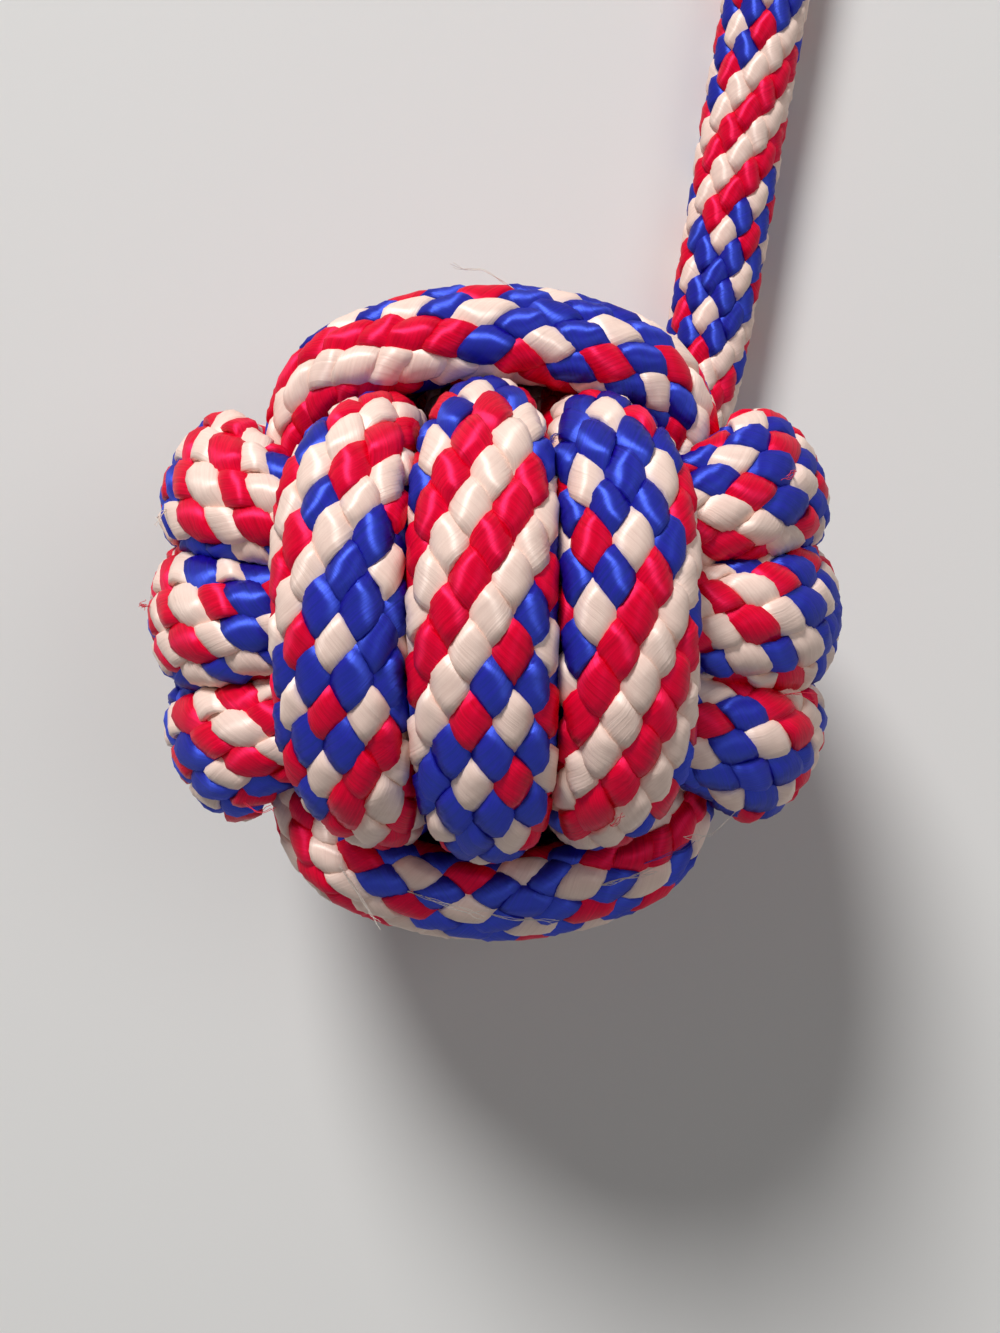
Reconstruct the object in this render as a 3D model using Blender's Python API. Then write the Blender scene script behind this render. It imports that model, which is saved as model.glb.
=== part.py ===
# Monkey fist tied from braided rope: three groups of three turns round a core ball,
# with the rope's tail lying on the table and ending in a stopper knot.
# Units are metres. +Z is up, the fist's front face looks along +Z, the tail leaves towards +Y.

import math

import bmesh
import bpy
import numpy as np
from mathutils.bvhtree import BVHTree

# Driving dimensions
SQUASH_Y = 0.945               # the fist is a little shorter along Y than along X
ROPE_DIAMETER = 0.0111         # the free rope
TURN_WIDTH_OUT = 0.01275       # a turn where it is seen: flattened against the ball
TURN_THICK_OUT = 0.0093
SIDE_WIDTH_OUT = 0.0146        # the side turns spread a little more
TURN_WIDTH_IN = 0.0091         # the same turn where it runs beneath the next group
TURN_THICK_IN = 0.0092
TURN_WIDTH_STEP = 0.0082       # and where it steps over to the next turn
TURN_GAP_OUT = 0.00045         # between neighbouring turns of a group, where they are seen
TURN_GAP_IN = 0.0007           # and beneath the next group
LAYER_GAP = 0.0008             # between a turn and the group that it lies on
CROSS_GAP = 0.00038            # least clearance where the groups pass each other at a corner
LIFT_START = 22.9              # degrees from the inner pass where a turn starts to climb
LIFT_END = 62.55               # and where it lies on top
SPREAD_START = 44.2            # degrees where a turn starts to widen and spread
SPREAD_END = 86.4
STEP_START = 137.0             # degrees along a turn where it steps aside, behind the fist
STEP_SWEEP = 86.0              # and over how many degrees
STEP_RISE = 1.8                # how soon before that step the turn is narrow
TURN_DROP = 0.90               # how far the outer turns of a group follow the ball's curve
SIDE_DROP = 0.60               # the same in the side turns, which stand out more squarely
TURNS = 3
BASE_CUT = 0.00115             # the underside is flattened by this much
GAP = 0.0003                   # clearance between pieces that touch
POINTS_PER_TURN = 36
SIDES = 10

TAIL_EXIT = (0.0218, 0.0188)   # where the tail starts, beside the fist
EXIT_LEAN = 24.0               # degrees that the tail leans from +Y towards +X there
TAIL_STOPS = [                 # the tail's way over the table, as places on it
    (0.0258, 0.0290), (0.0289, 0.0460), (0.0315, 0.0630), (0.0344, 0.0800), (0.0368, 0.0970),
    (0.0380, 0.1120)]
TAIL_POINTS = 64
KNOT_AT = (0.0375, 0.1560)     # middle of the stopper knot
KNOT_HEADING = 94.0            # degrees from +X in which the rope runs through the knot
KNOT_ROPE = 0.0088             # rope diameter inside the pulled knot
KNOT_STOPS = [                 # the rope's way through the knot, in its own axes, in mm
    (-21.0, 0.2, 0.3), (-16.5, 0.4, 0.6), (-8.2, 0.0, 1.3), (-3.4, 3.8, 3.6), (0.8, 5.0, 8.5),
    (7.1, 1.2, 11.8), (11.6, -5.2, 9.4), (12.1, -9.0, 4.2), (10.1, -9.5, -2.1), (4.9, -5.6, -7.0),
    (-0.5, 0.6, -7.5), (-4.9, 5.6, -7.0), (-9.2, 9.1, -3.5), (-12.1, 9.0, 4.2), (-11.0, 3.9, 10.4),
    (-7.1, -1.2, 11.8), (-2.0, -4.7, 9.5), (3.4, -3.8, 3.6), (9.8, 0.4, 1.1), (16.5, 0.5, 0.7),
    (21.0, 0.3, 0.5)]
KNOT_POINTS = 72
KNOT_SIDES = 8
KNOT_TAPER = 1.2               # rope diameters over which the rope thins into the knot
TIP_LENGTH = 0.0045            # sealed end of the rope
TIP_SHAPE = [(0.0, 1.0), (0.45, 1.0), (0.85, 0.88), (1.0, 0.6)]    # share of its length, of the diameter
TIP_SIDES = 12
PITCH_IN = TURN_WIDTH_IN + TURN_GAP_IN
LAYER_STEP = (TURN_THICK_IN + TURN_THICK_OUT) / 2 + LAYER_GAP


def rope_material(name, colour, roughness):
    mat = bpy.data.materials.new(name)
    mat.use_nodes = True
    shader = mat.node_tree.nodes["Principled BSDF"]
    shader.inputs["Base Color"].default_value = (*colour, 1.0)
    shader.inputs["Roughness"].default_value = roughness
    return mat


def add_object(name, data, material):
    obj = bpy.data.objects.new(name, data)
    bpy.context.scene.collection.objects.link(obj)
    data.materials.append(material)
    return obj


def ease(value):
    value = np.clip(value, 0.0, 1.0)
    return value * value * (3.0 - 2.0 * value)


def unit(rows):
    return rows / np.linalg.norm(rows, axis=-1, keepdims=True)


def winding_path(inner_radius, inner, outer, side, first, last, width_out, drop):
    """Centreline of one group of turns, with the width and thickness of the rope along it.

    The angle runs from the inner pass (0) over the outer pass (90) to the inner pass behind
    (180), where the rope steps over to the next turn out of sight.
    """
    step = 360.0 / POINTS_PER_TURN
    theta = np.arange(first, last + step / 2, step)
    apart = np.abs((theta + 90.0) % 180.0 - 90.0)
    lift = ease((apart - LIFT_START) / (LIFT_END - LIFT_START))
    spread = ease((apart - SPREAD_START) / (SPREAD_END - SPREAD_START))
    stepping = ease(STEP_RISE * (1.0 - np.abs(theta % 360.0 - 180.0) / LIFT_END))
    turn = -(TURNS + 1) / 2 * np.ones_like(theta)
    for k in range(-1, TURNS):
        turn += np.clip((theta - (STEP_START + 360.0 * k)) / STEP_SWEEP, 0.0, 1.0)
    thick = TURN_THICK_IN + (TURN_THICK_OUT - TURN_THICK_IN) * lift
    width = TURN_WIDTH_IN + (width_out - TURN_WIDTH_IN) * spread
    width += (TURN_WIDTH_STEP - TURN_WIDTH_IN) * stepping
    radius = inner_radius + LAYER_STEP * lift
    offset = -turn * (PITCH_IN + (width_out + TURN_GAP_OUT - PITCH_IN) * spread)
    reach = np.sqrt(radius ** 2 - offset ** 2 * (1.0 + (drop - 1.0) * lift))
    angle = np.radians(theta)
    points = (np.outer(reach * np.cos(angle), inner) + np.outer(reach * np.sin(angle), outer)
              + np.outer(offset, side))
    return points, width, thick


def sweep(points, width, thick, sides, scale=(1.0, 1.0, 1.0), base=(0.0, 0.0, 0.0)):
    """Rings of an oval tube; its wide axis lies along the ball's surface."""
    tangent = unit(np.gradient(points, axis=0))
    out = points - (points * tangent).sum(1, keepdims=True) * tangent
    out = unit(out)
    across = np.cross(tangent, out)
    turn = math.pi / 2 + 2 * math.pi * np.arange(sides) / sides
    rings = (points[:, None] + across[:, None] * (width / 2)[:, None, None] * np.cos(turn)[None, :, None]
             + out[:, None] * (thick / 2)[:, None, None] * np.sin(turn)[None, :, None])
    return rings * np.array(scale) + np.array(base)


def tube_mesh(name, rings):
    count, sides = rings.shape[:2]
    faces = []
    for i in range(count - 1):
        for j in range(sides):
            k = (j + 1) % sides
            faces.append((i * sides + j, i * sides + k, (i + 1) * sides + k, (i + 1) * sides + j))
    faces.append(tuple(range(sides - 1, -1, -1)))
    faces.append(tuple((count - 1) * sides + j for j in range(sides)))
    mesh = bpy.data.meshes.new(name)
    mesh.from_pydata(rings.reshape(-1, 3).tolist(), [], faces)
    bm = bmesh.new()
    bm.from_mesh(mesh)
    bmesh.ops.recalc_face_normals(bm, faces=bm.faces)
    bm.to_mesh(mesh)
    bm.free()
    return mesh


def cut_flat(mesh, height):
    """Take away what is below a level plane and close the cut."""
    bm = bmesh.new()
    bm.from_mesh(mesh)
    everything = list(bm.verts) + list(bm.edges) + list(bm.faces)
    bmesh.ops.bisect_plane(bm, geom=everything, dist=1e-7, plane_co=(0, 0, height), plane_no=(0, 0, 1),
                           clear_inner=True)
    rim = [edge for edge in bm.edges if edge.is_boundary]
    bmesh.ops.holes_fill(bm, edges=rim, sides=0)
    bmesh.ops.recalc_face_normals(bm, faces=bm.faces)
    bm.to_mesh(mesh)
    bm.free()


def gap_to_itself(rings, apart):
    """Least distance between stretches of one tube that are some rings apart along it."""
    count, sides = rings.shape[:2]
    least = 1.0
    block = 6
    for start in range(0, count - 1, block):
        stop = min(start + block, count - 1)
        near = [tuple(p) for p in rings[start:stop + 1].reshape(-1, 3)]
        far, faces = [], []
        for i in range(count - 1):
            if start - apart < i < stop + apart:
                continue
            for j in range(sides):
                n = len(far)
                corners = ((i, j), (i, (j + 1) % sides), (i + 1, (j + 1) % sides), (i + 1, j))
                far += [tuple(rings[corner]) for corner in corners]
                faces.append((n, n + 1, n + 2, n + 3))
        if not faces:
            continue
        tree = BVHTree.FromPolygons(far, faces)
        for point in near:
            distance = tree.find_nearest(point)[3]
            least = min(least, distance)
    return least


def mesh_gap(one, two):
    """Least distance from the vertices of one mesh to the faces of another, or 0 where they cross."""
    trees, corners = [], []
    for mesh in (one, two):
        points = [tuple(v.co) for v in mesh.vertices]
        trees.append(BVHTree.FromPolygons(points, [tuple(p.vertices) for p in mesh.polygons]))
        corners.append(points)
    if trees[0].overlap(trees[1]):
        return 0.0
    least = min(trees[1].find_nearest(p)[3] for p in corners[0])
    return min(least, min(trees[0].find_nearest(p)[3] for p in corners[1]))


def smooth_route(stops, count):
    """Evenly spaced points on a Catmull-Rom curve through hand-chosen stops."""
    stops = np.array(stops, dtype=float)
    padded = np.vstack([2 * stops[0] - stops[1], stops, 2 * stops[-1] - stops[-2]])
    fine = []
    for i in range(len(stops) - 1):
        p0, p1, p2, p3 = padded[i:i + 4]
        for t in np.linspace(0, 1, 40, endpoint=False):
            fine.append(0.5 * (2 * p1 + (p2 - p0) * t + (2 * p0 - 5 * p1 + 4 * p2 - p3) * t ** 2
                               + (3 * p1 - p0 - 3 * p2 + p3) * t ** 3))
    fine.append(stops[-1])
    fine = np.array(fine)
    along = np.concatenate([[0.0], np.cumsum(np.linalg.norm(np.diff(fine, axis=0), axis=1))])
    wanted = np.linspace(0.0, along[-1], count)
    return np.column_stack([np.interp(wanted, along, fine[:, axis]) for axis in range(3)]), along[-1]


def round_rings(points, diameters, sides):
    """Rings of a round tube, carried along the line without twisting."""
    tangent = unit(np.gradient(points, axis=0))
    side = unit(np.cross(tangent[0], (0.0, 0.0, 1.0)))
    rings = []
    for point, along, size in zip(points, tangent, diameters):
        side = unit(side - np.dot(side, along) * along)
        up = np.cross(side, along)
        turn = 2 * math.pi * np.arange(sides) / sides
        rings.append(point + size / 2 * (np.outer(np.cos(turn), up) + np.outer(np.sin(turn), side)))
    return np.array(rings)


def rope_curve(name, points, diameter):
    data = bpy.data.curves.new(name, "CURVE")
    data.dimensions = "3D"
    data.bevel_depth = diameter / 2
    data.bevel_resolution = 2
    data.use_fill_caps = True
    data.resolution_u = 1
    data.render_resolution_u = 0
    spline = data.splines.new("POLY")
    spline.points.add(len(points) - 1)
    for point, place in zip(spline.points, points):
        point.co = (*place, 1.0)
    return data


for old in list(bpy.data.objects):
    bpy.data.objects.remove(old, do_unlink=True)

AXIS_X, AXIS_Y, AXIS_Z = np.eye(3)
SQUASH = (1.0, SQUASH_Y, 1.0)


# Each group: its inner, outer and side directions, and its turns' outer width and drop
FRONT_GROUP = (-AXIS_Y, AXIS_Z, AXIS_X, TURN_WIDTH_OUT, TURN_DROP)
SIDE_GROUP = (AXIS_Z, -AXIS_X, AXIS_Y, SIDE_WIDTH_OUT, SIDE_DROP)
RIM_GROUP = (-AXIS_X, -AXIS_Y, AXIS_Z, TURN_WIDTH_OUT, TURN_DROP)


def group_path(inner_radius, group, first, last):
    inner, outer, side, width_out, drop = group
    return winding_path(inner_radius, inner, outer, side, first, last, width_out, drop)


def trial_mesh(inner_radius, group, first, last):
    return tube_mesh("trial", sweep(*group_path(inner_radius, group, first, last), SIDES))


def crossing_gap(inner_radius):
    """Least gap where one group passes over the next, for each pair of neighbours."""
    least = 1.0
    for upper, lower in ((FRONT_GROUP, SIDE_GROUP), (SIDE_GROUP, RIM_GROUP), (RIM_GROUP, FRONT_GROUP)):
        one = trial_mesh(inner_radius, upper, -30.0, 120.0)
        two = trial_mesh(inner_radius, lower, -90.0, 750.0)
        least = min(least, mesh_gap(one, two))
        bpy.data.meshes.remove(one)
        bpy.data.meshes.remove(two)
    return least


# The fist is drawn as tight as the rope's own size allows
low, high = TURN_WIDTH_OUT + TURN_THICK_IN / 2, 4 * SIDE_WIDTH_OUT
for trial in range(11):
    middle = (low + high) / 2
    if crossing_gap(middle) < CROSS_GAP:
        low = middle
    else:
        high = middle
INNER_RADIUS = high
OUTER_RADIUS = INNER_RADIUS + LAYER_STEP + TURN_THICK_OUT / 2
CORE_RADIUS = (INNER_RADIUS - TURN_THICK_IN / 2) * SQUASH_Y - GAP
BALL_HEIGHT = OUTER_RADIUS - BASE_CUT
CENTRE = (0.0, 0.0, BALL_HEIGHT)
TAIL_HEIGHT = ROPE_DIAMETER / 2

front_mat = rope_material("rope_front", (0.72, 0.16, 0.20), 0.55)
side_mat = rope_material("rope_side", (0.64, 0.20, 0.26), 0.55)
rim_mat = rope_material("rope_rim", (0.56, 0.22, 0.32), 0.55)
tail_mat = rope_material("rope_tail", (0.70, 0.20, 0.26), 0.55)
knot_mat = rope_material("rope_knot", (0.62, 0.18, 0.30), 0.55)
core_mat = rope_material("core_wood", (0.62, 0.45, 0.28), 0.6)
tip_mat = rope_material("sealed_tip", (0.50, 0.20, 0.22), 0.35)

# Front turns: on top at the front and back of the fist, beneath the rim turns at +Y and -Y.
# One end leaves the lowest pass as the tail.
points, width, thick = group_path(INNER_RADIUS, FRONT_GROUP, -90.0, 860.0)
lean = math.radians(EXIT_LEAN)
exit_run = np.array((math.sin(lean), math.cos(lean), 0.0))
exit_point = np.array((*TAIL_EXIT, TAIL_HEIGHT))
exit_end = exit_point - exit_run * GAP / 2
root = points[0] * SQUASH + CENTRE
root_run = unit((points[0] - points[1]) * SQUASH)
straight_from = exit_end - exit_run * ROPE_DIAMETER
reach = np.linalg.norm(straight_from - root)
blend = [exit_end, exit_end - exit_run * ROPE_DIAMETER / 2]
for t in (1.0, 0.75, 0.5, 0.25):
    blend.append((2 * t ** 3 - 3 * t ** 2 + 1) * root + (t ** 3 - 2 * t ** 2 + t) * reach * root_run
                 + (3 * t ** 2 - 2 * t ** 3) * straight_from + (t ** 3 - t ** 2) * reach * exit_run)
points = np.vstack([(np.array(blend) - CENTRE) / SQUASH, points])
swell = ease(np.linspace(1.0, 0.0, len(blend)))
width = np.concatenate([width[0] + (ROPE_DIAMETER - width[0]) * swell, width])
thick = np.concatenate([thick[0] + (ROPE_DIAMETER - thick[0]) * swell, thick])
front_rings = sweep(points, width, thick, SIDES, SQUASH, CENTRE)
front_mesh = tube_mesh("front_turns", front_rings)
cut_flat(front_mesh, 0.0)
add_object("front_turns", front_mesh, front_mat)

# Side turns: on top at +X and -X, beneath the front turns at the front and back
points, width, thick = group_path(INNER_RADIUS, SIDE_GROUP, -140.0, 860.0)
side_rings = sweep(points, width, thick, SIDES, SQUASH, CENTRE)
side_mesh = tube_mesh("side_turns", side_rings)
add_object("side_turns", side_mesh, side_mat)

# Rim turns: on top at +Y and -Y, beneath the side turns at +X and -X
points, width, thick = group_path(INNER_RADIUS, RIM_GROUP, -140.0, 860.0)
rim_rings = sweep(points, width, thick, SIDES, SQUASH, CENTRE)
rim_mesh = tube_mesh("rim_turns", rim_rings)
add_object("rim_turns", rim_mesh, rim_mat)

# Core ball, hidden in the fist
core_mesh = bpy.data.meshes.new("core_ball")
bm = bmesh.new()
bmesh.ops.create_uvsphere(bm, u_segments=24, v_segments=14, radius=CORE_RADIUS)
bmesh.ops.translate(bm, verts=bm.verts, vec=CENTRE)
bm.to_mesh(core_mesh)
bm.free()
add_object("core_ball", core_mesh, core_mat)

# Stopper knot: an overhand knot pulled up in the rope, lying on the table
stops = np.array(KNOT_STOPS) / 1000.0
knot_height = KNOT_ROPE / 2 - stops[:, 2].min()
heading = math.radians(KNOT_HEADING)
along = np.array((math.cos(heading), math.sin(heading), 0.0))
beside = np.array((-math.sin(heading), math.cos(heading), 0.0))
stops = (np.array((*KNOT_AT, knot_height)) + np.outer(stops[:, 0], along) + np.outer(stops[:, 1], beside)
         + np.outer(stops[:, 2], AXIS_Z))
knot_points, knot_rope_length = smooth_route(stops, KNOT_POINTS)
from_start = np.linspace(0.0, knot_rope_length, KNOT_POINTS)
pull = ease(np.minimum(from_start, from_start[::-1]) / (KNOT_TAPER * ROPE_DIAMETER))
knot_rings = round_rings(knot_points, ROPE_DIAMETER + (KNOT_ROPE - ROPE_DIAMETER) * pull, KNOT_SIDES)
knot_rings[:, :, 2] = np.maximum(knot_rings[:, :, 2], 0.0)
knot_mesh = tube_mesh("stopper_knot", knot_rings)
add_object("stopper_knot", knot_mesh, knot_mat)

# Sealed tip past the knot
tip_run = unit(knot_points[-1] - knot_points[-2])
tip_start = knot_points[-1] + tip_run * GAP
tip_points = np.array([tip_start + tip_run * TIP_LENGTH * share for share, size in TIP_SHAPE])
tip_sizes = [ROPE_DIAMETER * size for share, size in TIP_SHAPE]
add_object("rope_end", tube_mesh("rope_end", round_rings(tip_points, tip_sizes, TIP_SIDES)), tip_mat)

# Tail: the free rope from the fist over the table to the knot
knot_run = unit(knot_points[1] - knot_points[0])
tail_start = exit_point + exit_run * GAP / 2
tail_end = knot_points[0] - knot_run * GAP
route = [tail_start + exit_run * step for step in (0.0, 0.002, 0.004)]
route += [(x, y, TAIL_HEIGHT) for x, y in TAIL_STOPS]
route += [tail_end - knot_run * step for step in (0.004, 0.002, 0.0)]
tail_points, tail_length = smooth_route(route, TAIL_POINTS)
tail_points[:, 2] = np.maximum(tail_points[:, 2], TAIL_HEIGHT)
add_object("tail_rope", rope_curve("tail_rope", tail_points, ROPE_DIAMETER), tail_mat)

print("inner radius", round(INNER_RADIUS * 1000, 2), "outer radius", round(OUTER_RADIUS * 1000, 2),
      "core radius", round(CORE_RADIUS * 1000, 2), "centre height", round(BALL_HEIGHT * 1000, 2), "mm")
print("tail", round(tail_length * 1000, 1), "mm, rope in the knot", round(knot_rope_length * 1000, 1), "mm")
for label, rings, apart in (("front turns", front_rings, 12), ("side turns", side_rings, 12),
                            ("rim turns", rim_rings, 12), ("stopper knot", knot_rings, 11)):
    print("least gap of the", label, "to themselves, mm", round(gap_to_itself(rings, apart) * 1000, 3))
meshes = [bpy.data.meshes[name] for name in ("front_turns", "side_turns", "rim_turns", "core_ball",
                                             "stopper_knot", "rope_end")]
for i, one in enumerate(meshes):
    for two in meshes[i + 1:]:
        gap = mesh_gap(one, two)
        if gap < ROPE_DIAMETER / 2:
            print("gap", one.name, two.name, round(gap * 1000, 3), "mm")
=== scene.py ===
# %% [markdown]
# # A monkey fist tied from braided rope
# The object is a ball of rope: three groups of three turns lie over a round core, each group
# over one neighbour and under the other, and one end of the rope runs off over the table to a
# stopper knot. The rope itself is a tube of sixteen satin strands in red, white and blue,
# eight winding one way and eight the other, each passing over one strand and under the next.
# The fist is a rule more than a shape, so nearly all of it is computed here: a formula gives
# the centreline of the rope, and one geometry node tree lays the strands round it.

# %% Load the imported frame
import math

import bpy
import numpy as np
from mathutils import Matrix, Vector


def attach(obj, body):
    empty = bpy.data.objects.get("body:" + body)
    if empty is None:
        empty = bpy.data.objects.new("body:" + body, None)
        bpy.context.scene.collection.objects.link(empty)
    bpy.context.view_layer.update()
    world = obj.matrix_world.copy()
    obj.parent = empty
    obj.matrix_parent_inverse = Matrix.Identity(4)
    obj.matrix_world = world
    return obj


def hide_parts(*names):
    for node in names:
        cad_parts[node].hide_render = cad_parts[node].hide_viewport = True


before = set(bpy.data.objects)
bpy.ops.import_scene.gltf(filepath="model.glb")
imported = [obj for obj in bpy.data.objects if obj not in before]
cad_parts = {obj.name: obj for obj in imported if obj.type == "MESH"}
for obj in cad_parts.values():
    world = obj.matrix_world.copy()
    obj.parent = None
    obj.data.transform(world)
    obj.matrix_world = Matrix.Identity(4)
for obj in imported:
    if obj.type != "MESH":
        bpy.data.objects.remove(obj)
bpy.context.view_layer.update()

print("nodes:", sorted(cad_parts))

# %% [markdown]
# ## Camera
# The view is nearly straight down on the fist, from about 12 cm above it. The lens is a little to
# the tail's side and looks back from there. A camera can be placed by eye, but turns of rope that
# lie side by side show every millimetre of error. So these numbers come from fitting the outline
# and the seams of the solid model to the photograph: where the lens is, how far it leans, and its
# focal length in pixels of a picture that is 1000 wide and 1333 high.

# %% Camera
LENS_PLACE = (0.00543, 0.00742, 0.1941)
LEAN_Y, LEAN_X = -0.0852, -0.0310              # radians from straight down
FOCAL_PIXELS, PICTURE_HEIGHT = 1406.5, 1333.0
SENSOR_HEIGHT = 24.0                           # mm

camera_data = bpy.data.cameras.new("photo_camera")
camera_data.sensor_fit = "VERTICAL"
camera_data.sensor_height = SENSOR_HEIGHT
camera_data.lens = SENSOR_HEIGHT * FOCAL_PIXELS / PICTURE_HEIGHT
camera_data.clip_start = 0.01
camera = bpy.data.objects.new("photo_camera", camera_data)
bpy.context.scene.collection.objects.link(camera)
camera.matrix_world = (Matrix.Translation(LENS_PLACE) @ Matrix.Rotation(LEAN_Y, 4, "X")
                       @ Matrix.Rotation(-LEAN_X, 4, "Y"))
bpy.context.scene.camera = camera
print("lens:", round(camera_data.lens, 2), "mm on a sensor", SENSOR_HEIGHT, "mm high")

# %% [markdown]
# ## Where the rope runs
# Each group of turns follows the same rule, seen along another axis. Where a group lies under
# its neighbour the rope runs on a small radius, where it lies on top it runs on a large one, and
# between the two it climbs. The step from one turn to the next is made in an inner pass, where
# nobody sees it. Nine turns could be drawn by hand as curves, but it is hard to make such curves
# nest, and one formula with a few sizes makes them all. The sizes are the solid model's, apart
# from the spread and the fullness of the soft rope.

# %% Sizes of the fist
INNER_RADIUS = 0.0229953
TURN_WIDTH_OUT, SIDE_WIDTH_OUT, TURN_THICK_OUT = 0.01275, 0.0146, 0.0093
TURN_WIDTH_IN, TURN_THICK_IN, TURN_WIDTH_STEP = 0.0091, 0.0092, 0.0082
TURN_GAP_OUT, PITCH_IN = 0.00045, 0.0098
LAYER_STEP = 0.01005                           # how much further out it runs where it lies on top
LIFT_START, LIFT_END = 22.9, 62.55             # degrees from an inner pass, between which it climbs
SPREAD_START, SPREAD_END = 32.0, 72.0          # soft rope fills out sooner than the solids do
HIDDEN_START, HIDDEN_SPAN = 137.0, 86.0        # degrees in which it steps to the next turn
NARROW_RATE = 1.8                              # how quickly it narrows for that step
TURN_DROP, SIDE_DROP = 0.90, 0.60              # how far a group's outer turns follow the ball
FULLNESS = 1.07                                # the yarn bulges into the gaps that the solids leave
SQUASH = np.array((1.0, 0.945, 1.0))
PRESSED = 0.00115                              # how much of the lowest turns is pressed flat
CENTRE = np.array((0.0, 0.0, INNER_RADIUS + LAYER_STEP + TURN_THICK_OUT / 2 - PRESSED))
ROPE_DIAMETER = 0.0111
FIRST_ANGLE, FRONT_START, LAST_ANGLE = -140.0, -90.0, 860.0
AXIS_X, AXIS_Y, AXIS_Z = np.eye(3)
print("middle of the ball, mm above the table:", round(CENTRE[2] * 1000, 2))


def ease(value):
    value = np.clip(value, 0.0, 1.0)
    return value * value * (3.0 - 2.0 * value)


def unit(rows):
    return rows / np.linalg.norm(rows, axis=-1, keepdims=True)


# %% One group of turns
def group_line(inner, outer, side, first, last, width_out, drop):
    """Centreline of a group, relative to the ball's centre, with the rope's width and thickness."""
    theta = np.arange(first, last + 0.5, 1.0)
    apart = np.abs((theta + 90.0) % 180.0 - 90.0)
    lift = ease((apart - LIFT_START) / (LIFT_END - LIFT_START))
    spread = ease((apart - SPREAD_START) / (SPREAD_END - SPREAD_START))
    stepping = ease(NARROW_RATE * (1.0 - np.abs(theta % 360.0 - 180.0) / LIFT_END))
    turn = -2.0 * np.ones_like(theta)
    for k in range(-1, 3):
        turn += np.clip((theta - (HIDDEN_START + 360.0 * k)) / HIDDEN_SPAN, 0.0, 1.0)
    thick = TURN_THICK_IN + (TURN_THICK_OUT - TURN_THICK_IN) * lift
    width = TURN_WIDTH_IN + (width_out - TURN_WIDTH_IN) * spread
    width += (TURN_WIDTH_STEP - TURN_WIDTH_IN) * stepping
    radius = INNER_RADIUS + LAYER_STEP * lift
    offset = -turn * (PITCH_IN + (width_out + TURN_GAP_OUT - PITCH_IN) * spread)
    reach = np.sqrt(radius ** 2 - offset ** 2 * (1.0 + (drop - 1.0) * lift))
    angle = np.radians(theta)
    points = (np.outer(reach * np.cos(angle), inner) + np.outer(reach * np.sin(angle), outer)
              + np.outer(offset, side))
    return points, width, thick, theta


# %% Even spacing along a line
def spaced(points, values, step):
    """Points every `step` metres along a line, with the other columns carried along."""
    along = np.concatenate([[0.0], np.cumsum(np.linalg.norm(np.diff(points, axis=0), axis=1))])
    count = int(round(along[-1] / step)) + 1
    wanted = np.linspace(0.0, along[-1], count)
    points = np.column_stack([np.interp(wanted, along, points[:, k]) for k in range(3)])
    return points, [np.interp(wanted, along, v) for v in values], wanted


def smoothed(rows, times):
    """A light smoothing that keeps the ends."""
    rows = rows.copy()
    for _ in range(times):
        rows[1:-1] = 0.25 * rows[:-2] + 0.5 * rows[1:-1] + 0.25 * rows[2:]
    return rows


# %% [markdown]
# ## The line of each piece of rope
# A piece of rope is described by a list of points, and for each point the two directions of its
# oval section: out, away from the ball, and across, along the ball's surface. A Blender curve
# would find such directions by itself, but they would roll about the rope. Worked out here, they
# always face away from the ball, and the braid can be laid by them.

# %% Lines of the three groups
STEP = 0.00056                                 # metres between the points of a line
TAIL_EXIT, EXIT_LEAN, GAP = (0.0218, 0.0188), math.radians(24.0), 0.0003
EXIT_RUN = np.array((math.sin(EXIT_LEAN), math.cos(EXIT_LEAN), 0.0))
TAIL_HEIGHT = ROPE_DIAMETER / 2
BLEND_STEP = 2.0                               # degrees that each point of the blend stands for
STRAIGHT_POINTS, CURVE_POINTS, BLEND_SMOOTHING = 12, 14, 4


def rope_line(points, width, thick, theta=None, about=CENTRE):
    """Everything that the braid needs to know along one piece of rope."""
    columns = [width, thick] + ([theta] if theta is not None else [])
    points, columns, along = spaced(points, columns, STEP)
    tangent = unit(np.gradient(points, axis=0))
    out = points - about
    out = unit(out - (out * tangent).sum(1, keepdims=True) * tangent)
    return {"points": points, "out": out, "across": np.cross(out, tangent), "width": columns[0] * FULLNESS,
            "thick": columns[1], "along": along, "theta": columns[2] if theta is not None else None}


lines = {}
points, *columns = group_line(AXIS_Z, -AXIS_X, AXIS_Y, FIRST_ANGLE, LAST_ANGLE, SIDE_WIDTH_OUT, SIDE_DROP)
lines["side_turns"] = rope_line((points * SQUASH + CENTRE)[::-1], *[c[::-1] for c in columns])
points, *columns = group_line(-AXIS_X, -AXIS_Y, AXIS_Z, FIRST_ANGLE, LAST_ANGLE, TURN_WIDTH_OUT, TURN_DROP)
lines["rim_turns"] = rope_line(points * SQUASH + CENTRE, *columns)

# %% The front turns and their way out to the tail
points, width, thick, theta = group_line(-AXIS_Y, AXIS_Z, AXIS_X, FRONT_START, LAST_ANGLE, TURN_WIDTH_OUT,
                                         TURN_DROP)
points = points * SQUASH + CENTRE
exit_point = np.array((*TAIL_EXIT, TAIL_HEIGHT))
exit_end = exit_point - EXIT_RUN * GAP / 2
straight_from = exit_end - EXIT_RUN * ROPE_DIAMETER
reach = np.linalg.norm(straight_from - points[0])
root_run = unit(points[0] - points[1])
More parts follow.
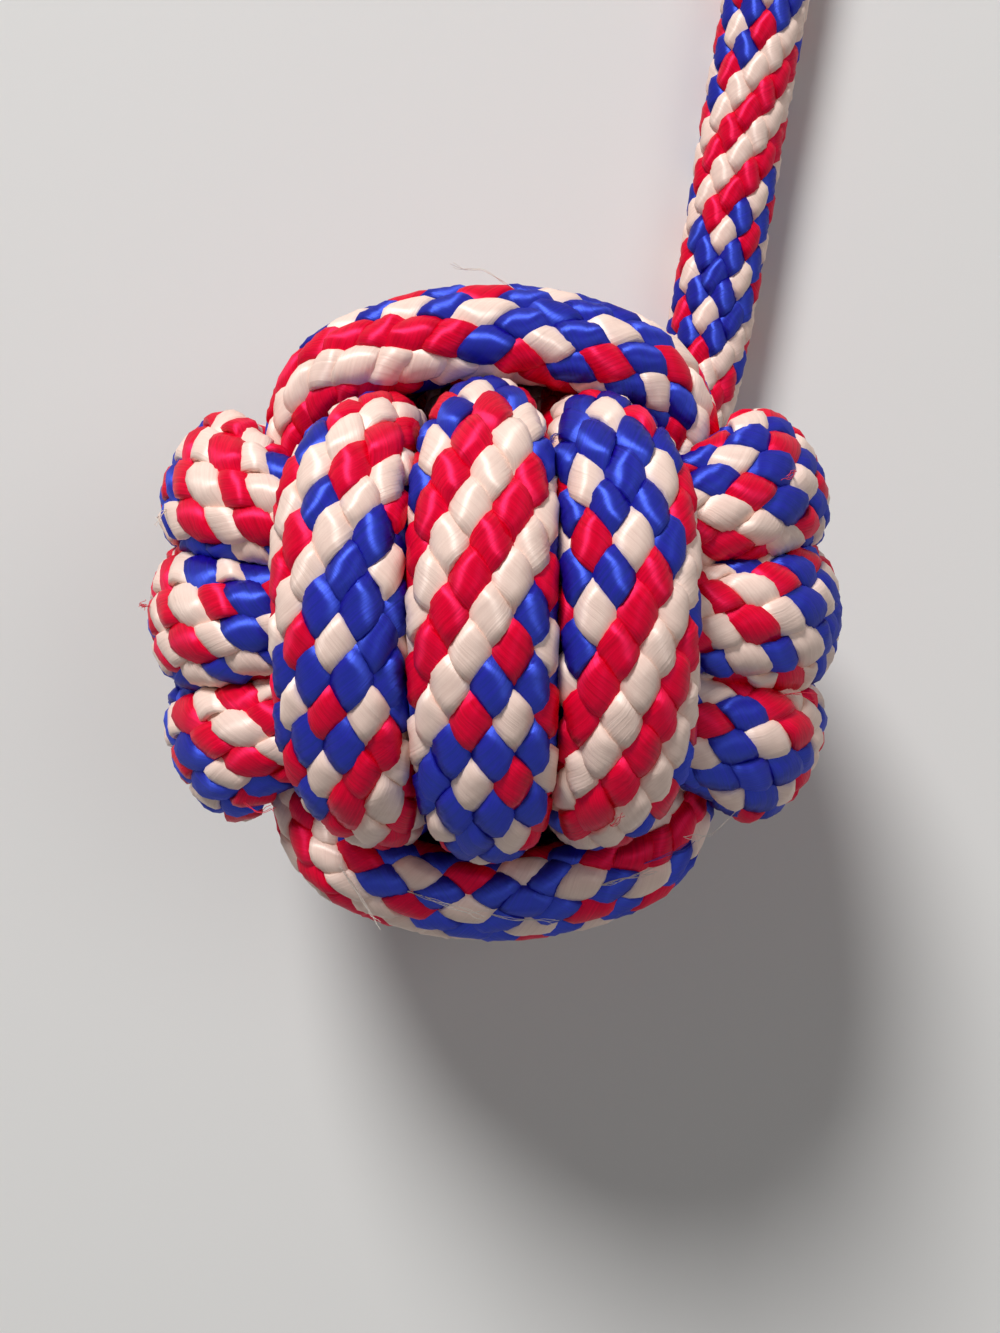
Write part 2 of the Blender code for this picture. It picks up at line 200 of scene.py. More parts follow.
# The last turn leaves its group low down: a straight end, then a Hermite curve back to the turn
blend = [exit_end - EXIT_RUN * ROPE_DIAMETER * s for s in np.linspace(0.0, 0.95, STRAIGHT_POINTS)]
for t in np.linspace(1.0, 0.05, CURVE_POINTS):
    blend.append((2 * t ** 3 - 3 * t ** 2 + 1) * points[0] + (t ** 3 - 2 * t ** 2 + t) * reach * root_run
                 + (3 * t ** 2 - 2 * t ** 3) * straight_from + (t ** 3 - t ** 2) * reach * EXIT_RUN)
swell = ease(np.linspace(1.0, 0.0, len(blend)))
width = np.concatenate([width[0] + (ROPE_DIAMETER - width[0]) * swell, width])
thick = np.concatenate([thick[0] + (ROPE_DIAMETER - thick[0]) * swell, thick])
blend_angles = np.linspace(FRONT_START - BLEND_STEP * len(blend), FRONT_START - BLEND_STEP, len(blend))
theta = np.concatenate([blend_angles, theta])
points = smoothed(np.vstack([blend, points]), BLEND_SMOOTHING)
lines["front_turns"] = rope_line(points[::-1], width[::-1], thick[::-1], theta[::-1])
for name, line in lines.items():
    print(name, "rope", round(line["along"][-1] * 1000), "mm in", len(line["points"]), "points")

# %% [markdown]
# ## Tail and stopper knot
# The tail is a free rope of known length, so its route is written down as places on the table,
# the ones that the solid model has. It leaves the fist at table level and runs straight out of
# the view; the part that the photograph doesn't show is short and ends in an overhand knot with a
# sealed tip. A simulated cord would lie as well, but not in the same place as its solid.

# %% Route of the tail and of the knot
TAIL_STOPS = [(0.0258, 0.0290), (0.0289, 0.0460), (0.0315, 0.0630), (0.0344, 0.0800), (0.0368, 0.0970),
              (0.0380, 0.1120)]
KNOT_AT, KNOT_HEADING, KNOT_ROPE = (0.0375, 0.1560), math.radians(94.0), 0.0088
KNOT_STOPS = [
    # mm along the knot's heading, to its left, and above its middle
    (-21.0, 0.2, 0.3), (-16.5, 0.4, 0.6), (-8.2, 0.0, 1.3), (-3.4, 3.8, 3.6), (0.8, 5.0, 8.5),
    (7.1, 1.2, 11.8), (11.6, -5.2, 9.4), (12.1, -9.0, 4.2), (10.1, -9.5, -2.1), (4.9, -5.6, -7.0),
    (-0.5, 0.6, -7.5), (-4.9, 5.6, -7.0), (-9.2, 9.1, -3.5), (-12.1, 9.0, 4.2), (-11.0, 3.9, 10.4),
    (-7.1, -1.2, 11.8), (-2.0, -4.7, 9.5), (3.4, -3.8, 3.6), (9.8, 0.4, 1.1), (16.5, 0.5, 0.7),
    (21.0, 0.3, 0.5)]


def smooth_route(stops, samples=40):
    """Closely spaced points on a Catmull-Rom curve through given stops."""
    stops = np.array(stops, dtype=float)
    padded = np.vstack([2 * stops[0] - stops[1], stops, 2 * stops[-1] - stops[-2]])
    fine = []
    for i in range(len(stops) - 1):
        p0, p1, p2, p3 = padded[i:i + 4]
        for t in np.linspace(0, 1, samples, endpoint=False):
            fine.append(0.5 * (2 * p1 + (p2 - p0) * t + (2 * p0 - 5 * p1 + 4 * p2 - p3) * t ** 2
                               + (3 * p1 - p0 - 3 * p2 + p3) * t ** 3))
    fine.append(stops[-1])
    return np.array(fine)


def carried_line(points, sizes):
    """A round rope, whose section is carried along without twisting."""
    points, (sizes,), along = spaced(points, [sizes], STEP)
    tangent = unit(np.gradient(points, axis=0))
    out = [AXIS_Z - np.dot(AXIS_Z, tangent[0]) * tangent[0]]
    for direction in tangent[1:]:
        out.append(out[-1] - np.dot(out[-1], direction) * direction)
        out[-1] = out[-1] / np.linalg.norm(out[-1])
    out = unit(np.array(out))
    return {"points": points, "out": out, "across": np.cross(out, tangent), "width": sizes, "thick": sizes,
            "along": along, "theta": None}


# %% Lines of the knot and the tail
KNOT_TAPER = 10.8                              # the rope is pulled thin within an eleventh of the knot
END_RUN = 0.002                                # metres between the points that keep the ends straight
stops = np.array(KNOT_STOPS) / 1000.0
knot_height = KNOT_ROPE / 2 - stops[:, 2].min()
run = np.array((math.cos(KNOT_HEADING), math.sin(KNOT_HEADING), 0.0))
beside = np.array((-run[1], run[0], 0.0))
knot_route = smooth_route(np.array((*KNOT_AT, knot_height)) + np.outer(stops[:, 0], run)
                          + np.outer(stops[:, 1], beside) + np.outer(stops[:, 2], AXIS_Z))
share = np.linspace(0.0, 1.0, len(knot_route))
pull = ease(np.minimum(share, 1.0 - share) * KNOT_TAPER)
lines["stopper_knot"] = carried_line(knot_route, ROPE_DIAMETER + (KNOT_ROPE - ROPE_DIAMETER) * pull)

knot_run = unit(knot_route[1] - knot_route[0])
tail_start = exit_point + EXIT_RUN * GAP / 2
tail_end = knot_route[0] - knot_run * GAP
route = [tail_start + EXIT_RUN * END_RUN * k for k in (0, 1, 2)]
route += [np.array((x, y, TAIL_HEIGHT)) for x, y in TAIL_STOPS]
route += [tail_end - knot_run * END_RUN * k for k in (2, 1, 0)]
tail_route = smooth_route(route)
tail_route[:, 2] = np.maximum(tail_route[:, 2], TAIL_HEIGHT)
lines["tail_rope"] = carried_line(tail_route, np.full(len(tail_route), ROPE_DIAMETER))
print("tail", round(lines["tail_rope"]["along"][-1] * 1000, 1), "mm; rope in the knot",
      round(lines["stopper_knot"]["along"][-1] * 1000, 1), "mm")

# %% [markdown]
# ## How the braid runs along the line
# One full turn of a strand round the rope takes about 45 mm. Whether the striped side or the blue
# side of the rope is seen depends on how the rope happens to be rolled. A braid started anywhere
# would look right but not alike, so for each turn that the photograph shows there is a short
# note: at this angle along the winding, these two strands cross in the middle of the rope's outer
# side, and the rope is rolled there by so many turns per metre. The notes weren't read by eye: a
# search compared this rule with the photograph, and its results are rounded to a quarter of a
# strand. Through the hidden passes between them the braid drifts from one note to the next.

# %% Notes on the seen turns
LEAD, TAIL_LEAD = 0.0450, 0.0410
STRANDS = 8                                    # for each hand, so sixteen in all
FACING = {
    # degrees along the winding, right-hand strand, left-hand strand, roll in turns per metre
    "front_turns": [(90, 2.5, 0.0, -2), (450, 0.0, 2.5, 0), (804, 6.0, 7.75, 6)],
    "side_turns": [(-64, 5.5, 2.75, 6), (64, 3.25, 3.75, 16), (296, 6.75, 5.5, 14),
                   (424, 1.75, 4.25, 16), (656, 3.5, 6.25, 4), (784, 5.0, 0.25, 16)],
    "rim_turns": [(-115, 7.0, 5.5, 1), (-59, 3.25, 3.5, -8), (59, 1.5, 3.5, -1), (121, 4.75, 2.25, -6)],
}
SEEN = {"front_turns": 0.026, "side_turns": 0.016, "rim_turns": 0.010}      # metres on both sides of a note
SPARE_BEFORE, SPARE_AFTER = 0.1, 0.4           # metres of even braid past the first and last note
SMOOTHING = 12                                 # passes that round the bends in the phase


# %% Rules for the phase
def note(place, right, left, slope, seen):
    """Turns and roll that bring these two strands to the middle of the outer side at a place."""
    both = 2.0 * STRANDS
    return place, (left - right) / both, 0.25 - (left + right) / both, slope, seen


def drift(line, lead, notes):
    """Braid turns and roll all along a line, through all its notes.

    The pattern repeats after half a turn on and half a roll back, and after a whole roll, so each
    note is brought as near to the one before it as those steps allow.
    """
    places, turns, rolls = [], [], []
    for place, turn, roll, slope, seen in sorted(notes):
        if places:
            halves = round(2 * (turns[-1] + (place - places[-1]) / lead - turn))
            turn, roll = turn + halves / 2, roll - halves / 2
            roll -= round(roll - slope * seen - rolls[-1])
        for side in ((-seen, seen) if seen else (0.0,)):
            places.append(place + side)
            turns.append(turn + side / lead)
            rolls.append(roll + slope * side)
    turns = [turns[0] - (places[0] + SPARE_BEFORE) / lead] + turns + [turns[-1] + SPARE_AFTER / lead]
    rolls = [rolls[0]] + rolls + [rolls[-1]]
    places = [-SPARE_BEFORE] + places + [places[-1] + SPARE_AFTER]
    line["turns"] = smoothed(np.interp(line["along"], places, turns), SMOOTHING)
    line["roll"] = smoothed(np.interp(line["along"], places, rolls), SMOOTHING)


def turned(before, after):
    """How far round, in turns, the outer side moves where one line runs into the next."""
    out = after["out"][0]
    return 0.25 - math.atan2(out @ before["out"][-1], out @ before["across"][-1]) / (2 * math.pi)


# %% Lay out the phase
TAIL_NOTE = note(0.025, 5.0, 6.5, 1.5, 0.020)  # 25 mm from the fist
tail_line, front_line, knot_line = lines["tail_rope"], lines["front_turns"], lines["stopper_knot"]
drift(tail_line, TAIL_LEAD, [TAIL_NOTE])
knot_roll = tail_line["roll"][-1] + turned(tail_line, knot_line)
drift(knot_line, TAIL_LEAD, [(0.0, tail_line["turns"][-1], knot_roll, 0.0, 0.0)])
for name, rows in FACING.items():
    line = lines[name]
    order = np.argsort(line["theta"])
    angles, places = line["theta"][order], line["along"][order]
    notes = [note(float(np.interp(angle, angles, places)), right, left, slope, SEEN[name])
             for angle, right, left, slope in rows]
    if line is front_line:
        end_roll = tail_line["roll"][0] - turned(line, tail_line)
        notes.append((line["along"][-1], tail_line["turns"][0], end_roll, 0.0, 0.0))
    drift(line, LEAD, notes)
    steepest = float(np.gradient(line["turns"], line["along"]).max())
    print(name, "braid turns", round(float(np.ptp(line["turns"])), 2), "roll",
          round(float(line["roll"].min()), 2), "to", round(float(line["roll"].max()), 2),
          "steepest lead, mm:", round(1000 / steepest, 1))

# %% [markdown]
# ## Yarn
# Each strand is a flat bundle of very fine, shiny fibres. What the eye sees is a saturated colour,
# fine streaks along the strand, and a soft highlight that lies across the fibres. Real hair
# curves would do it with millions of fibres. Here the streaks are noise stretched along the
# strand, in both colour and bump, and the highlight is the shader's anisotropy, turned to lie
# across the strand's own direction. The highlight is tinted, because dyed fibre reflects light
# from inside as well. What isn't braided, such as the heart, gets a plainer, grained material.

# %% Yarn materials
STREAK_SCALE = (8.0, 5.0, 110.0)               # across, through and, per metre, along a strand
STREAK_RELIEF = 0.00015                        # metres


def yarn_material(name, deep, bright, gloss, shine):
    mat = bpy.data.materials.new(name)
    mat.use_nodes = True
    tree = mat.node_tree
    shader = tree.nodes["Principled BSDF"]
    fibre = tree.nodes.new("ShaderNodeAttribute")
    fibre.attribute_name = "fibre"
    stretch = tree.nodes.new("ShaderNodeMapping")
    stretch.inputs["Scale"].default_value = STREAK_SCALE
    streaks = tree.nodes.new("ShaderNodeTexNoise")
    streaks.inputs["Scale"].default_value = 1.0
    streaks.inputs["Detail"].default_value = 3.0
    streaks.inputs["Roughness"].default_value = 0.65
    tree.links.new(fibre.outputs["Vector"], stretch.inputs["Vector"])
    tree.links.new(stretch.outputs["Vector"], streaks.inputs["Vector"])
    ramp = tree.nodes.new("ShaderNodeValToRGB")
    ramp.color_ramp.elements[0].position = 0.30
    ramp.color_ramp.elements[0].color = (*deep, 1.0)
    ramp.color_ramp.elements[1].position = 0.70
    ramp.color_ramp.elements[1].color = (*bright, 1.0)
    tree.links.new(streaks.outputs["Fac"], ramp.inputs["Fac"])
    tree.links.new(ramp.outputs["Color"], shader.inputs["Base Color"])
    bump = tree.nodes.new("ShaderNodeBump")
    bump.inputs["Strength"].default_value = 0.42
    bump.inputs["Distance"].default_value = STREAK_RELIEF
    tree.links.new(streaks.outputs["Fac"], bump.inputs["Height"])
    tree.links.new(bump.outputs["Normal"], shader.inputs["Normal"])
    tangent = tree.nodes.new("ShaderNodeTangent")
    tangent.direction_type = "UV_MAP"
    tangent.uv_map = "UVMap"
    tree.links.new(tangent.outputs["Tangent"], shader.inputs["Tangent"])
    shader.inputs["Anisotropic"].default_value = 0.92
    shader.inputs["Anisotropic Rotation"].default_value = 0.25
    shader.inputs["Roughness"].default_value = 0.44
    shader.inputs["IOR"].default_value = gloss
    shader.inputs["Specular IOR Level"].default_value = 0.9
    shader.inputs["Specular Tint"].default_value = (*shine, 1.0)
    return mat


YARNS = {
    # The white's pinkish tint is partly its own cream colour and partly painted reflection of the red
    # strands beside it.
    "white": yarn_material("white_yarn", (0.83, 0.60, 0.51), (0.94, 0.71, 0.61), 1.6, (1.0, 0.93, 0.86)),
    "red": yarn_material("red_yarn", (0.50, 0.0, 0.006), (0.86, 0.0, 0.028), 1.85, (1.0, 0.045, 0.21)),
    "blue": yarn_material("blue_yarn", (0.003, 0.0005, 0.11), (0.014, 0.003, 0.30), 2.1, (0.10, 0.19, 1.0)),
}
print("yarns:", ", ".join(YARNS))


# %% Materials for what isn't braided
def plain_material(name, colour, roughness, grain):
    """A colour with fine, uneven grain, for the rope's heart, loose fibres, the core and the tip."""
    mat = bpy.data.materials.new(name)
    mat.use_nodes = True
    tree = mat.node_tree
    shader = tree.nodes["Principled BSDF"]
    place = tree.nodes.new("ShaderNodeTexCoord")
    noise = tree.nodes.new("ShaderNodeTexNoise")
    noise.inputs["Scale"].default_value = grain
    noise.inputs["Detail"].default_value = 4.0
    tree.links.new(place.outputs["Object"], noise.inputs["Vector"])
    ramp = tree.nodes.new("ShaderNodeValToRGB")
    ramp.color_ramp.elements[0].color = (*[c * 0.7 for c in colour], 1.0)
    ramp.color_ramp.elements[1].color = (*colour, 1.0)
    tree.links.new(noise.outputs["Fac"], ramp.inputs["Fac"])
    tree.links.new(ramp.outputs["Color"], shader.inputs["Base Color"])
    shader.inputs["Roughness"].default_value = roughness
    return mat


# The heart's dark colour is painted shade for the gaps between the strands.
heart_material = plain_material("rope_heart", (0.16, 0.05, 0.08), 0.9, 900.0)
print("inside the braid:", heart_material.name)

# %% [markdown]
# ## The braid as a node tree
# A braid can be painted on a tube as bump, but then its edge stays smooth, and its colours don't
# know which strand is on top. Here every strand is real. The tree takes a line with its
# directions and sizes as attributes, copies it once for each strand, and winds the copies round
# the oval section. A strand rises and falls once for every two that it crosses. Curve to Mesh
# gives each its plump, flattened section. Yarn colours follow the strand's number: one way round
# the order is white, red, white, red and four blues; the other way every second strand is white
# and the rest are red but for one blue.

# %% Small helpers for node trees
class Tree:
    """Adds nodes and maths to a geometry node tree in few words."""

    def __init__(self, name):
        self.group = bpy.data.node_groups.new(name, "GeometryNodeTree")
        self.nodes, self.links = self.group.nodes, self.group.links

    def port(self, name, kind, way="INPUT", value=None):
        item = self.group.interface.new_socket(name=name, in_out=way, socket_type=kind)
        if value is not None:
            item.default_value = value

    def put(self, target, value):
        if hasattr(value, "is_output"):
            self.links.new(value, target)
        else:
            target.default_value = value

    def add(self, kind, settings=(), **inputs):
        node = self.nodes.new(kind)
        for key, value in dict(settings).items():
            setattr(node, key, value)
        for key, value in inputs.items():
            wanted = key.replace("_", " ")
            self.put(next(s for s in node.inputs if s.name.replace("_", " ") == wanted and s.enabled), value)
        return node

    def math(self, operation, one, two=None):
        node = self.nodes.new("ShaderNodeMath")
        node.operation = operation
        self.put(node.inputs[0], one)
        if two is not None:
            self.put(node.inputs[1], two)
        return node.outputs[0]

    def vector(self, operation, one, two=None):
        node = self.nodes.new("ShaderNodeVectorMath")
        node.operation = operation
        self.put(node.inputs[0], one)
        if two is not None:
            self.put(node.inputs["Scale"] if operation == "SCALE" else node.inputs[1], two)
        return node.outputs[0]

    def split(self, vector):
        return self.add("ShaderNodeSeparateXYZ", Vector=vector).outputs

    def joined(self, **parts):
        return self.add("ShaderNodeCombineXYZ", **parts).outputs[0]

    def position(self):
        return self.add("GeometryNodeInputPosition").outputs["Position"]

    def sweep(self, path, ring, scale=None):
        """A closed tube: the ring swept along the path, with its ends filled."""
        node = self.nodes.new("GeometryNodeCurveToMesh")
        self.put(node.inputs["Curve"], path)
        self.put(node.inputs["Profile Curve"], ring)
        if scale is not None:
            self.put(node.inputs["Scale"], scale)
        node.inputs["Fill Caps"].default_value = True
        return node.outputs["Mesh"]

    def named(self, name, kind="FLOAT"):
        node = self.nodes.new("GeometryNodeInputNamedAttribute")
        node.data_type = kind
        node.inputs["Name"].default_value = name
        return node.outputs["Attribute"]

    def store(self, geometry, name, value, kind="FLOAT", domain="POINT"):
        node = self.nodes.new("GeometryNodeStoreNamedAttribute")
        node.data_type, node.domain = kind, domain
        node.inputs["Name"].default_value = name
        self.put(node.inputs["Geometry"], geometry)
        self.put(next(s for s in node.inputs if s.name == "Value" and s.enabled), value)
        return node.outputs["Geometry"]


# %% Where each strand runs
CREST = 0.35                                   # the smaller, the longer a strand stays on top


def strand_paths(t, start):
    """One curve for each strand, wound round the line, with its own up direction and size."""
    tau = 2 * math.pi
    curve = t.add("GeometryNodeMeshToCurve", Mesh=start["Line"]).outputs["Curve"]
    copies = t.add("GeometryNodeDuplicateElements", {"domain": "SPLINE"}, Geometry=curve,
                   Amount=start["Strands"])
    number = copies.outputs["Duplicate Index"]
    share = t.math("DIVIDE", number, start["Strands"])
    turns = t.math("MULTIPLY", t.named("turns"), start["Hand"])
    angle = t.math("MULTIPLY", t.math("ADD", t.math("ADD", turns, share), t.named("roll")), tau)

    # Over one strand and under the next, where the other hand's strands do the opposite
    crossing = t.math("MULTIPLY", t.math("MULTIPLY", t.named("turns"), start["Strands"]), tau)
    wave = t.math("MULTIPLY", t.math("COSINE", crossing), start["Hand"])
    flat = t.math("SQRT", t.math("ADD", t.math("MULTIPLY", wave, wave), CREST))
    height = t.math("MULTIPLY", t.math("DIVIDE", wave, flat), math.sqrt(1.0 + CREST))
    below = t.math("MULTIPLY", t.math("SUBTRACT", 1.0, height), 0.5)
    sink = t.math("ADD", t.math("MULTIPLY", start["Strand thickness"], 0.5),
                  t.math("MULTIPLY", start["Weave"], t.math("MULTIPLY", below, 2.0)))

    # On an oval, equal angles crowd the strands at its ends, and this spaces them more evenly
    half_w, half_t = t.named("half_width"), t.named("half_thick")
    lean = t.math("DIVIDE", t.math("SUBTRACT", half_w, half_t), t.math("ADD", half_w, half_t))
    even = t.math("ADD", angle, t.math("MULTIPLY", t.math("MULTIPLY", lean, 0.5),
                                       t.math("SINE", t.math("MULTIPLY", angle, 2.0))))
    cos_a, sin_a = t.math("COSINE", even), t.math("SINE", even)
    out, across = t.named("out", "FLOAT_VECTOR"), t.named("across", "FLOAT_VECTOR")
    shift = t.vector("ADD",
                     t.vector("SCALE", across, t.math("MULTIPLY", t.math("SUBTRACT", half_w, sink), cos_a)),
                     t.vector("SCALE", out, t.math("MULTIPLY", t.math("SUBTRACT", half_t, sink), sin_a)))
    moved = t.add("GeometryNodeSetPosition", Geometry=copies.outputs["Geometry"], Offset=shift)

    # Up is away from the rope, and a strand rolls a little about itself where it dives
    normal = t.vector("NORMALIZE", t.vector(
        "ADD", t.vector("SCALE", across, t.math("MULTIPLY", half_t, cos_a)),
        t.vector("SCALE", out, t.math("MULTIPLY", half_w, sin_a))))
    tilt = t.math("MULTIPLY", t.math("SINE", crossing), start["Dive roll"])
    lateral = t.vector("CROSS_PRODUCT", t.add("GeometryNodeInputTangent").outputs["Tangent"], normal)
    rolled = t.vector("ADD", normal, t.vector("SCALE", lateral, tilt))
    aimed = t.add("GeometryNodeSetCurveNormal", {"mode": "FREE"}, Curve=moved.outputs["Geometry"],
                  Normal=rolled)

    # A thicker rope has wider strands, and one that is below is squeezed narrower
    size = t.math("MULTIPLY", t.math("DIVIDE", t.math("ADD", half_w, half_t), ROPE_DIAMETER),
                  t.math("SUBTRACT", 1.0, t.math("MULTIPLY", below, start["Narrowing"])))
    sized = t.add("GeometryNodeSetCurveRadius", Curve=aimed.outputs["Curve"], Radius=size).outputs["Curve"]
    marked = t.store(sized, "down", t.add("GeometryNodeSplineParameter").outputs["Length"])
    return t.store(marked, "strand", number, "INT")


# %% The section of a strand
def strand_section(t, start):
    """A flattened ring, each point of which remembers where round the strand it is."""
    ring = t.add("GeometryNodeCurvePrimitiveCircle", {"mode": "RADIUS"}, Resolution=start["Section sides"],
                 Radius=1.0).outputs["Curve"]
    place = t.position()
    ring = t.store(ring, "round", place, "FLOAT_VECTOR")
    ring = t.store(ring, "around", t.add("GeometryNodeSplineParameter").outputs["Factor"])
    split = t.split(place)
    oval = t.joined(X=t.math("MULTIPLY", split["X"], t.math("MULTIPLY", start["Strand thickness"], 0.5)),
                    Y=t.math("MULTIPLY", split["Y"], t.math("MULTIPLY", start["Strand width"], 0.5)))
    return t.add("GeometryNodeSetPosition", Geometry=ring, Position=oval).outputs["Geometry"]


# %% Fibre directions, the table and the dye
STRAND_APART = 7.31                            # keeps the streaks of one strand from the next one's
CHART_SCALE = 40.0                             # UV units for each metre of strand
FIRST_BLUE, LONE_BLUE = 4, 6.0                 # right-hand blues start here, left-hand has one


def mark_fibres(t, mesh):
    """What the yarn materials read: across, through and along the strand, and a UV map."""
    parts = t.split(t.named("round", "FLOAT_VECTOR"))
    down = t.named("down")
    seed = t.math("MULTIPLY", t.named("strand", "INT"), STRAND_APART)
    fibre = t.joined(X=t.math("ADD", parts["Y"], seed), Y=parts["X"], Z=down)
    mesh = t.store(mesh, "fibre", fibre, "FLOAT_VECTOR")
    chart = t.joined(X=t.math("MULTIPLY", down, CHART_SCALE), Y=t.named("around"))
    return t.store(mesh, "UVMap", chart, "FLOAT2", "CORNER")


def press_on_table(t, mesh):
    """What would lie below the table is pressed flat on it."""
    spot = t.split(t.position())
    pressed = t.joined(X=spot["X"], Y=spot["Y"], Z=t.math("MAXIMUM", spot["Z"], 0.0))
    return t.add("GeometryNodeSetPosition", Geometry=mesh, Position=pressed).outputs["Geometry"]


def dye(t, start, mesh):
    """Gives each strand its yarn by its number, in one order for each hand."""
    strand = t.named("strand", "INT")
    right = t.math("GREATER_THAN", start["Hand"], 0.0)
    left = t.math("SUBTRACT", 1.0, right)
    odd = t.math("MODULO", strand, 2.0)
    right_blue = t.math("GREATER_THAN", strand, FIRST_BLUE - 0.5)
    left_blue = t.math("COMPARE", strand, LONE_BLUE)
    left_blue.node.inputs[2].default_value = 0.5
    right_white = t.math("MULTIPLY", t.math("SUBTRACT", 1.0, right_blue), t.math("SUBTRACT", 1.0, odd))
    is_blue = t.math("ADD", t.math("MULTIPLY", right, right_blue), t.math("MULTIPLY", left, left_blue))
    is_white = t.math("ADD", t.math("MULTIPLY", right, right_white), t.math("MULTIPLY", left, odd))
    for mat, chosen in ((YARNS["red"], None), (YARNS["blue"], is_blue), (YARNS["white"], is_white)):
        node = t.add("GeometryNodeSetMaterial", Geometry=mesh, Material=mat)
        if chosen is not None:
            t.put(node.inputs["Selection"], t.math("GREATER_THAN", chosen, 0.5))
        mesh = node.outputs["Geometry"]
    return mesh


# %% The tree that lays the strands
def build_braid_tree():
    t = Tree("braided_strands")
    t.port("Geometry", "NodeSocketGeometry", "OUTPUT")
    t.port("Line", "NodeSocketGeometry")
    t.port("Strands", "NodeSocketInt", value=STRANDS)
    t.port("Hand", "NodeSocketFloat", value=1.0)
    t.port("Strand width", "NodeSocketFloat", value=0.0038)
    t.port("Strand thickness", "NodeSocketFloat", value=0.0017)
    t.port("Weave", "NodeSocketFloat", value=0.0005)
    t.port("Narrowing", "NodeSocketFloat", value=0.15)
    t.port("Dive roll", "NodeSocketFloat", value=0.38)
    t.port("Section sides", "NodeSocketInt", value=10)
    start = t.nodes.new("NodeGroupInput").outputs
    radius = t.add("GeometryNodeInputRadius").outputs["Radius"]
    mesh = mark_fibres(t, t.sweep(strand_paths(t, start), strand_section(t, start), radius))
    mesh = press_on_table(t, mesh)
    mesh = t.add("GeometryNodeSetShadeSmooth", Geometry=mesh).outputs["Geometry"]
    mesh = t.add("GeometryNodeRealizeInstances", Geometry=mesh).outputs["Geometry"]
    t.links.new(dye(t, start, mesh), t.nodes.new("NodeGroupOutput").inputs["Geometry"])
    return t.group


braid_tree = build_braid_tree()
print("braid tree:", len(braid_tree.nodes), "nodes")

# %% Running a tree on a line
def line_object(name, line):
    """A mesh of points joined by edges that carries the line's directions and sizes."""
    mesh = bpy.data.meshes.new(name)
    count = len(line["points"])
    mesh.from_pydata(line["points"].tolist(), [(i, i + 1) for i in range(count - 1)], [])
    for key in ("out", "across"):
        mesh.attributes.new(key, "FLOAT_VECTOR", "POINT").data.foreach_set("vector", line[key].ravel())
    for key, values in (("half_width", line["width"] / 2), ("half_thick", line["thick"] / 2),
                        ("turns", line["turns"]), ("roll", line["roll"])):
        mesh.attributes.new(key, "FLOAT", "POINT").data.foreach_set("value", values)
    obj = bpy.data.objects.new(name, mesh)
    bpy.context.scene.collection.objects.link(obj)
    return obj


def run_tree(obj, tree, values):
    """Puts the tree on the object with these inputs and returns a plain mesh of the result."""
    modifier = obj.modifiers.new("nodes", "NODES")
    modifier.node_group = tree
    for item in tree.interface.items_tree:
        if item.in_out == "INPUT" and item.name in values:
            modifier[item.identifier] = values[item.name]
    graph = bpy.context.evaluated_depsgraph_get()
    graph.update()
    mesh = bpy.data.meshes.new_from_object(obj.evaluated_get(graph), preserve_all_data_layers=True,
                                           depsgraph=graph)
    obj.modifiers.remove(modifier)
    return mesh


def strands(name, line, hand):
    """The eight strands of one hand along a line, as one piece."""
    guide = line_object(name + "_line", line)
    mesh = run_tree(guide, braid_tree, {"Hand": float(hand)})
    bpy.data.objects.remove(guide, do_unlink=True)
    mesh.name = name
    obj = bpy.data.objects.new(name, mesh)
    bpy.context.scene.collection.objects.link(obj)
    print(name, len(mesh.vertices), "points,", sum(len(p.vertices) - 2 for p in mesh.polygons), "triangles")
    return obj


# %% [markdown]
# ## The heart of the rope
# Inside the strands a braided rope is filled with straight fibres. They only show as darkness in
# the gaps, so no fibre is made: a plain tube a little smaller than the braid is enough. Its dark
# colour is painted shade that deepens those gaps.

# %% Heart tubes
def heart(name, line, sides=14, every=3, inset=0.001768):
    """A closed tube that lies this far inside the rope's surface."""
    rows = slice(None, None, every)
    turn = 2 * math.pi * np.arange(sides) / sides
    half_w = line["width"][rows] / 2 - inset
    half_t = line["thick"][rows] / 2 - inset
    rings = (line["points"][rows][:, None]
             + line["across"][rows][:, None] * half_w[:, None, None] * np.cos(turn)[None, :, None]
             + line["out"][rows][:, None] * half_t[:, None, None] * np.sin(turn)[None, :, None])
    last = (len(rings) - 1) * sides
    faces = []
    for ring in range(0, last, sides):
        for j in range(sides):
            k = (j + 1) % sides
            faces.append((ring + j, ring + k, ring + sides + k, ring + sides + j))
    faces += [tuple(range(sides - 1, -1, -1)), tuple(range(last, last + sides))]
    mesh = bpy.data.meshes.new(name)
    mesh.from_pydata(rings.reshape(-1, 3).tolist(), [], faces)
    mesh.materials.append(heart_material)
    mesh.shade_smooth()
    obj = bpy.data.objects.new(name, mesh)
    bpy.context.scene.collection.objects.link(obj)
    return obj


# %% [markdown]
# ## The turns of the fist
# Each group is made of two sets of strands, the ones that wind to the right and the ones that wind
# to the left, and its heart. They are separate pieces because each set is one run of the tree,
# and because a piece over 200,000 triangles would be thinned in the export.

# %% Make the turns
SLOTS = {"front_turns": "rope_front", "side_turns": "rope_side", "rim_turns": "rope_rim"}
for node, slot in SLOTS.items():
    for label, hand in (("right_strands", 1), ("left_strands", -1)):
        piece = strands(f"{node}_{label}", lines[node], hand)
        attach(piece, "root")
        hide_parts(node)
    piece = heart(f"{node}_heart", lines[node])
    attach(piece, "root")


# %% [markdown]
# ## The free tail and its knot
# The tail and the knot are the same rope, laid by the same tree on lines of their own. They could
# be one long piece, but a person who ties it names them apart, and so does the solid model. Each
# is short enough to be one piece with its heart.

